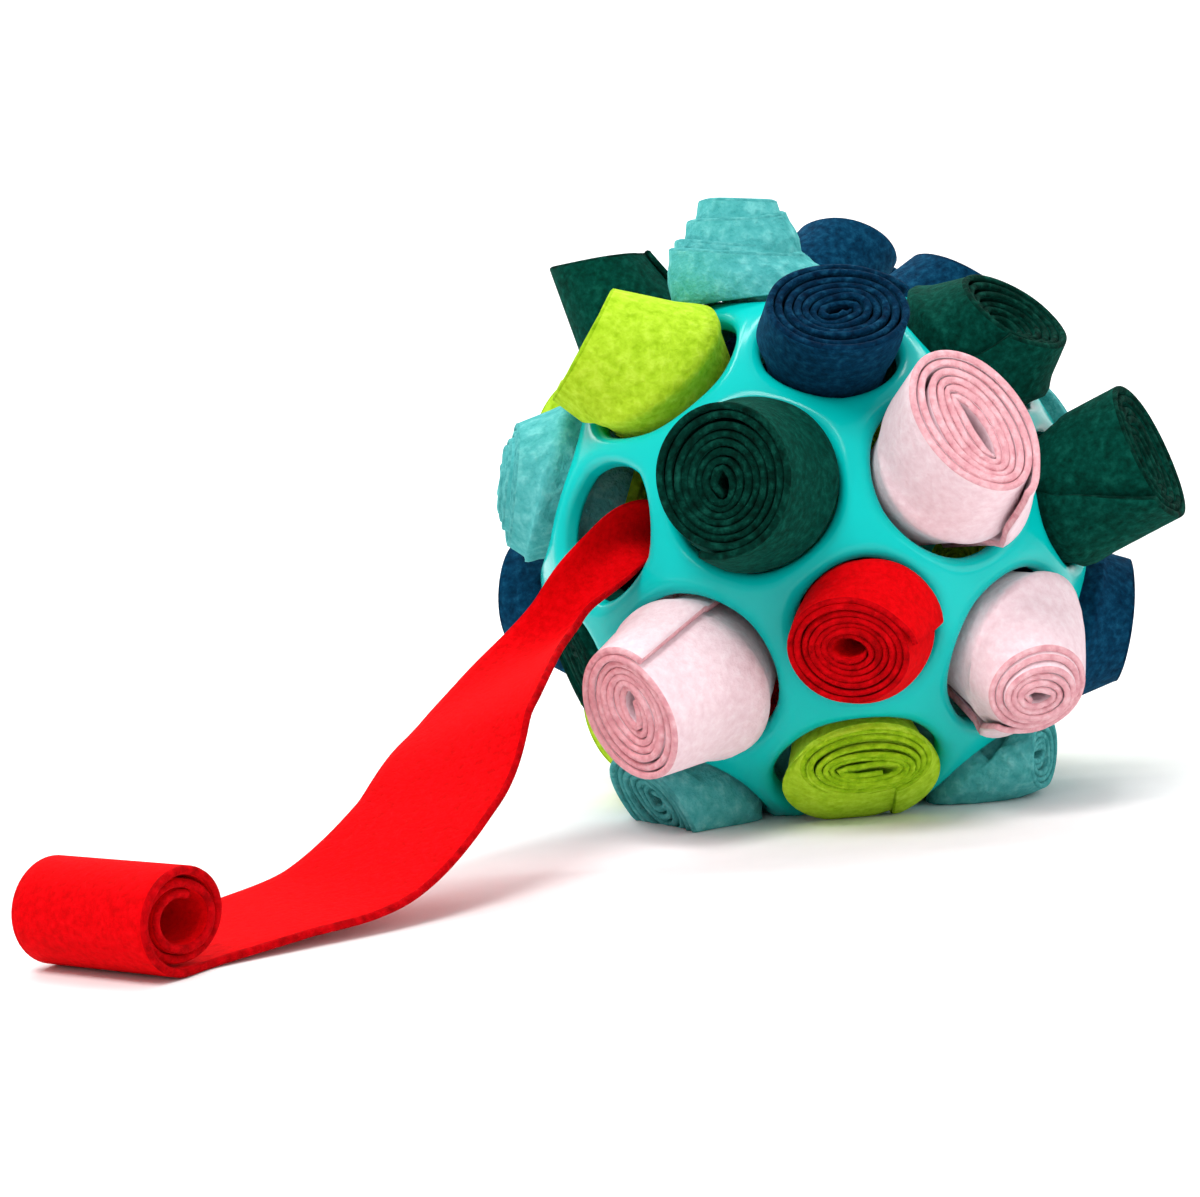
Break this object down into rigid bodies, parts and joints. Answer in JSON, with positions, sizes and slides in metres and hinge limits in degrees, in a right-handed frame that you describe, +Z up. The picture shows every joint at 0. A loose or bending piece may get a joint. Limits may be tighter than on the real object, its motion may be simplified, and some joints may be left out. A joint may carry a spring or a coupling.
{
  "type": "dog snuffle ball",
  "caption": "Soft rubber lattice ball with rolled strips of fleece standing out of its holes and one loose red strip that runs down to a roll on the floor.",
  "frame": {"origin": "on the floor, straight below the ball's centre, at the middle of the flat face that the ball stands on", "axes": "+Z up; +X to the right and -Y towards the viewer, so the loose strip runs out to -X and -Y"},
  "size_m": [0.2739, 0.2796, 0.1549],
  "materials": {
    "rubber_turquoise": "glossy moulded rubber",
    "fleece_teal": "pilled fleece",
    "fleece_green": "pilled fleece",
    "fleece_navy": "pilled fleece",
    "fleece_lime": "pilled fleece",
    "fleece_pink": "pilled fleece",
    "felt_red": "brushed felt"
  },
  "bodies": {
    "root": {"ball_shell": "rubber_turquoise", "red_strip": "felt_red", "roll_top": "fleece_teal", "roll_crown_front": "fleece_navy", "roll_crown_right": "fleece_navy", "roll_crown_left": "fleece_green", "roll_shoulder_right": "fleece_green", "roll_shoulder_left": "fleece_lime", "roll_shoulder_back": "fleece_navy", "roll_upper_front_left": "fleece_green", "roll_upper_front_right": "fleece_pink", "roll_upper_right": "fleece_teal", "roll_upper_back_right": "fleece_lime", "roll_upper_back_left": "fleece_lime", "roll_upper_left": "fleece_teal", "roll_belt_right": "fleece_green", "roll_belt_back": "fleece_pink", "roll_belt_front": "felt_red", "roll_belt_far_right": "fleece_lime", "roll_belt_far_left": "fleece_navy", "roll_lower_front_right": "fleece_pink", "roll_lower_right": "fleece_navy", "roll_lower_back_right": "fleece_green", "roll_lower_back_left": "fleece_pink", "roll_lower_left": "fleece_green", "roll_lower_front_left": "fleece_pink", "roll_foot_front": "fleece_lime", "roll_foot_right": "fleece_navy", "roll_foot_left": "fleece_lime", "roll_low_right": "fleece_teal", "roll_low_left": "fleece_teal", "roll_low_back": "felt_red", "roll_bottom": "fleece_teal"}
  },
  "joints": []
}
